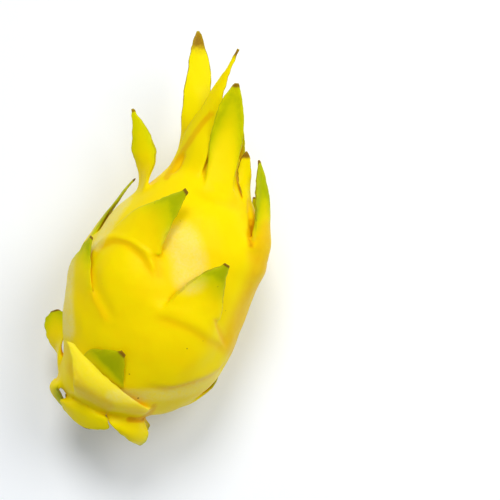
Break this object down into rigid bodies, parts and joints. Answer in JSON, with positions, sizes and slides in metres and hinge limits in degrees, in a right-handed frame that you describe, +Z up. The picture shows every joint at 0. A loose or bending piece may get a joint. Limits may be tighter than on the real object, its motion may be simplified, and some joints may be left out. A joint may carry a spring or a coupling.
{
  "type": "dragon fruit",
  "caption": "Whole yellow-skinned dragon fruit with large leafy scales, a withered flower in its crown and a cut stem stub, lying on its side.",
  "frame": {"origin": "middle of the small flat spot that the fruit lies on", "axes": "+Y along the fruit from its stem end to its crown, +Z up from the surface it lies on"},
  "size_m": [0.091, 0.1904, 0.0846],
  "materials": {
    "skin": "waxy satin skin, saturated yellow, with green tips and thin brown edges on its scales",
    "withered_flower": "dry, brown and papery",
    "cut_stem": "green rind round a dry tan cut face"
  },
  "bodies": {
    "root": {"fruit": "skin", "dried_flower": "withered_flower", "stem_stub": "cut_stem"}
  },
  "joints": []
}
